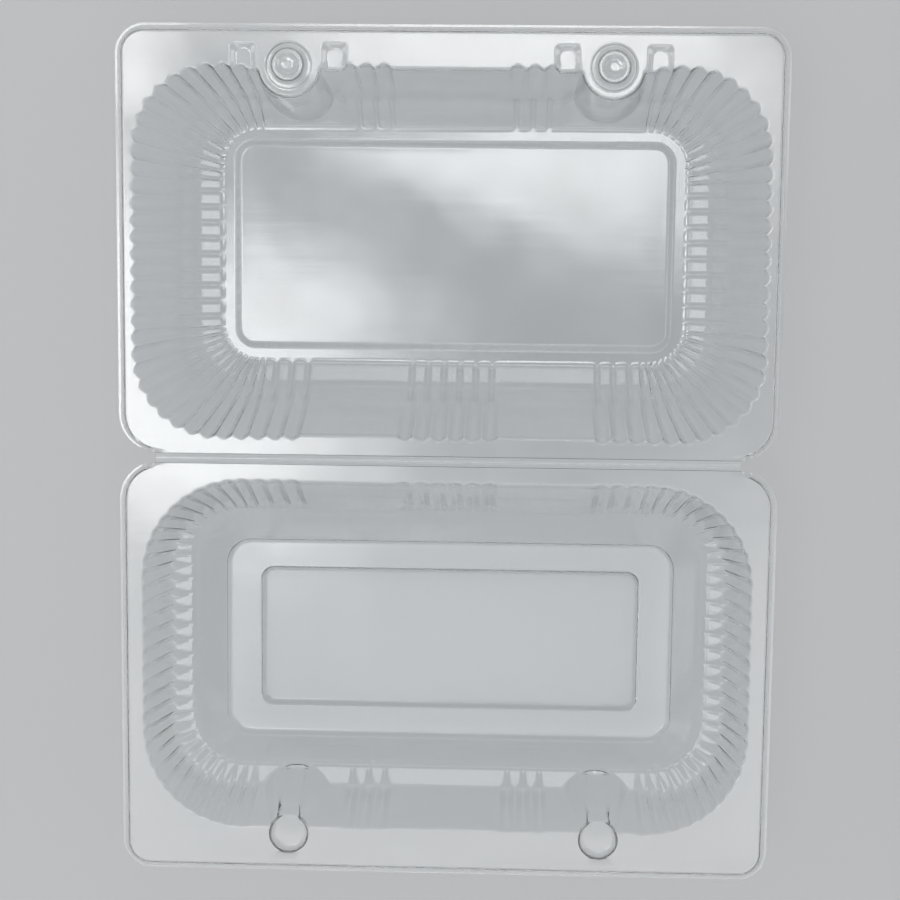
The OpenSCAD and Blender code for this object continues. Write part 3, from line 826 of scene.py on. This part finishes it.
def clear_plastic():
    """Clear formed sheet, faintly cloudy, that lets lamps shine through it."""
    material = bpy.data.materials.new("clear_sheet")
    material.use_nodes = True
    nodes, links = material.node_tree.nodes, material.node_tree.links
    body = nodes["Principled BSDF"]
    body.inputs["IOR"].default_value = SHEET_IOR
    body.inputs["Transmission Weight"].default_value = SHEET_CLEAR
    place = nodes.new("ShaderNodeTexCoord").outputs["Object"]

    def noise(scale, detail, stretch=(1, 1, 1)):
        mapping = nodes.new("ShaderNodeMapping")
        mapping.inputs["Scale"].default_value = stretch
        texture = nodes.new("ShaderNodeTexNoise")
        texture.inputs["Scale"].default_value = scale
        texture.inputs["Detail"].default_value = detail
        links.new(place, mapping.inputs["Vector"])
        links.new(mapping.outputs["Vector"], texture.inputs["Vector"])
        return texture.outputs["Fac"]

    cloud = noise(CLOUD_SCALE, detail=4)
    haze = nodes.new("ShaderNodeMapRange")
    haze.inputs["From Min"].default_value, haze.inputs["From Max"].default_value = CLOUD_RANGE
    haze.inputs["To Min"].default_value, haze.inputs["To Max"].default_value = HAZE_RANGE
    links.new(cloud, haze.inputs["Value"])
    links.new(haze.outputs["Result"], body.inputs["Roughness"])
    tint = nodes.new("ShaderNodeValToRGB")
    for stop, position, colour in zip(tint.color_ramp.elements, CLOUD_RANGE, CLOUD_TINTS):
        stop.position = position
        stop.color = colour
    links.new(cloud, tint.inputs["Fac"])
    links.new(tint.outputs["Color"], body.inputs["Base Color"])

    waves = noise(WAVE_SCALE, detail=2)
    streaks = noise(1, detail=3, stretch=STREAK_STRETCH)
    normal = None
    for height, depth in ((waves, WAVE_H), (streaks, STREAK_H)):
        bump = nodes.new("ShaderNodeBump")
        bump.inputs["Distance"].default_value = depth * MM
        links.new(height, bump.inputs["Height"])
        if normal:
            links.new(normal, bump.inputs["Normal"])
        normal = bump.outputs["Normal"]
    links.new(normal, body.inputs["Normal"])

    path = nodes.new("ShaderNodeLightPath")
    through = nodes.new("ShaderNodeBsdfTransparent")
    through.inputs["Color"].default_value = SHADOW_TINT
    shader = body.outputs["BSDF"]
    for ray in ("Is Diffuse Ray", "Is Shadow Ray"):
        mix = nodes.new("ShaderNodeMixShader")
        links.new(path.outputs[ray], mix.inputs["Fac"])
        links.new(shader, mix.inputs[1])
        links.new(through.outputs["BSDF"], mix.inputs[2])
        shader = mix.outputs["Shader"]
    links.new(shader, nodes["Material Output"].inputs["Surface"])
    return material


plastic = clear_plastic()
tray = sheet_object("tray_sheet", tray_face())
lid = sheet_object("lid_sheet", lid_face(), flip=True)
web = web_object("hinge_web")
PIECES = ((tray, "tray", "tray_body"), (lid, "lid", "lid_body"), (web, "living_hinge", None))
for piece, node, body in PIECES:
    piece.data.materials.clear()
    piece.data.materials.append(plastic)
    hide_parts(node)
    if body:
        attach(piece, body)
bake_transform(web)


def floor():
    """A plain pale round floor just under the foot."""
    angles = np.linspace(0, 2 * math.pi, FLOOR_STEPS, endpoint=False)
    mesh = bpy.data.meshes.new("floor")
    edge = [(FLOOR_R * math.cos(a), FLOOR_R * math.sin(a), 0) for a in angles]
    mesh.from_pydata(edge, [], [tuple(range(FLOOR_STEPS))])
    obj = bpy.data.objects.new("floor", mesh)
    obj.location.z = -FLOOR_GAP
    bpy.context.scene.collection.objects.link(obj)
    material = bpy.data.materials.new("floor")
    material.use_nodes = True
    paint = material.node_tree.nodes["Principled BSDF"]
    paint.inputs["Base Color"].default_value = FLOOR_COLOUR
    paint.inputs["Roughness"].default_value = FLOOR_ROUGHNESS
    mesh.materials.append(material)


def softbox(name, place, target, width, height, power, spin=0.0):
    """A rectangular lamp that fades towards its edges, turned about its own axis by an angle in degrees."""
    light = bpy.data.lights.new(name, "AREA")
    light.shape = "RECTANGLE"
    light.size, light.size_y = width, height
    light.energy = power
    light.use_nodes = True
    nodes, links = light.node_tree.nodes, light.node_tree.links
    across = nodes.new("ShaderNodeSeparateXYZ")
    links.new(nodes.new("ShaderNodeNewGeometry").outputs["Parametric"], across.inputs["Vector"])
    strength = None
    for axis in ("X", "Y"):
        for start, end in ((0.0, SOFT_EDGE), (1.0, 1 - SOFT_EDGE)):
            fade = nodes.new("ShaderNodeMapRange")
            fade.interpolation_type = "SMOOTHSTEP"
            fade.inputs["From Min"].default_value, fade.inputs["From Max"].default_value = start, end
            links.new(across.outputs[axis], fade.inputs["Value"])
            if strength:
                both = nodes.new("ShaderNodeMath")
                both.operation = "MULTIPLY"
                links.new(strength, both.inputs[0])
                links.new(fade.outputs["Result"], both.inputs[1])
                strength = both.outputs["Value"]
            else:
                strength = fade.outputs["Result"]
    links.new(strength, nodes["Emission"].inputs["Strength"])
    obj = bpy.data.objects.new(name, light)
    obj.location = place
    obj.rotation_mode = "QUATERNION"
    aim = (Vector(target) - Vector(place)).to_track_quat("-Z", "Y")
    obj.rotation_quaternion = aim @ Quaternion((0, 0, 1), math.radians(spin))
    obj.visible_camera = False
    bpy.context.scene.collection.objects.link(obj)


def studio():
    """The floor, soft lamps overhead and round the part, thin strips low down, and a dim sky."""
    floor()
    softbox("key", place=(-0.42, -0.03, OVERHEAD), target=(-0.42, -0.03, 0),
            width=0.8, height=0.42, power=5.6, spin=-27)
    softbox("accent", place=(0.03, 0.26, OVERHEAD), target=(0.03, 0.26, 0),
            width=0.7, height=0.34, power=3.4, spin=-27)
    softbox("corner", place=(-0.45, 0.29, OVERHEAD), target=(-0.45, 0.29, 0),
            width=0.34, height=0.36, power=1.8)
    softbox("fill", place=(0, -0.42, OVERHEAD), target=(0, -0.1, 0),
            width=1.5, height=0.62, power=4.6)
    for side in (-1, 1):
        softbox("side", place=(side * 1.15, -0.1, 0.8), target=(0, 0, 0),
                width=1.4, height=0.5, power=4.5)
        softbox("end", place=(0, side * 1.0, 1.0), target=(0, 0, 0),
                width=1.3, height=0.6, power=4.0)
        # The tray's bars mirror the strips at these heights, which differ because the camera is off centre
        softbox("low side", place=(side * 1.25, 0, 0.51 + side * 0.05), target=LOW_TARGET,
                width=1.5, height=0.22, power=2.5)
        softbox("low end", place=(0, side * 1.25, 0.34), target=LOW_TARGET,
                width=1.5, height=0.2, power=1.8)
        softbox("hinge corner", place=(side * 0.9, 0.9, 0.64 + side * 0.035), target=LOW_TARGET,
                width=0.9, height=0.26, power=1.5)
    world = bpy.data.worlds.new("studio")
    bpy.context.scene.world = world
    world.use_nodes = True
    sky = world.node_tree.nodes["Background"]
    sky.inputs["Color"].default_value = SKY_COLOUR
    sky.inputs["Strength"].default_value = SKY_STRENGTH


def camera():
    """The photograph's own viewpoint, nearly straight above the tray."""
    data = bpy.data.cameras.new("camera")
    data.sensor_width = SENSOR_W
    data.lens = LENS
    data.clip_start, data.clip_end = CLIP_RANGE
    obj = bpy.data.objects.new("camera", data)
    obj.location = CAMERA_PLACE
    obj.rotation_euler = [math.radians(angle) for angle in CAMERA_TURN]
    bpy.context.scene.collection.objects.link(obj)
    bpy.context.scene.camera = obj


studio()
camera()
bpy.context.scene.view_settings.view_transform = "Standard"
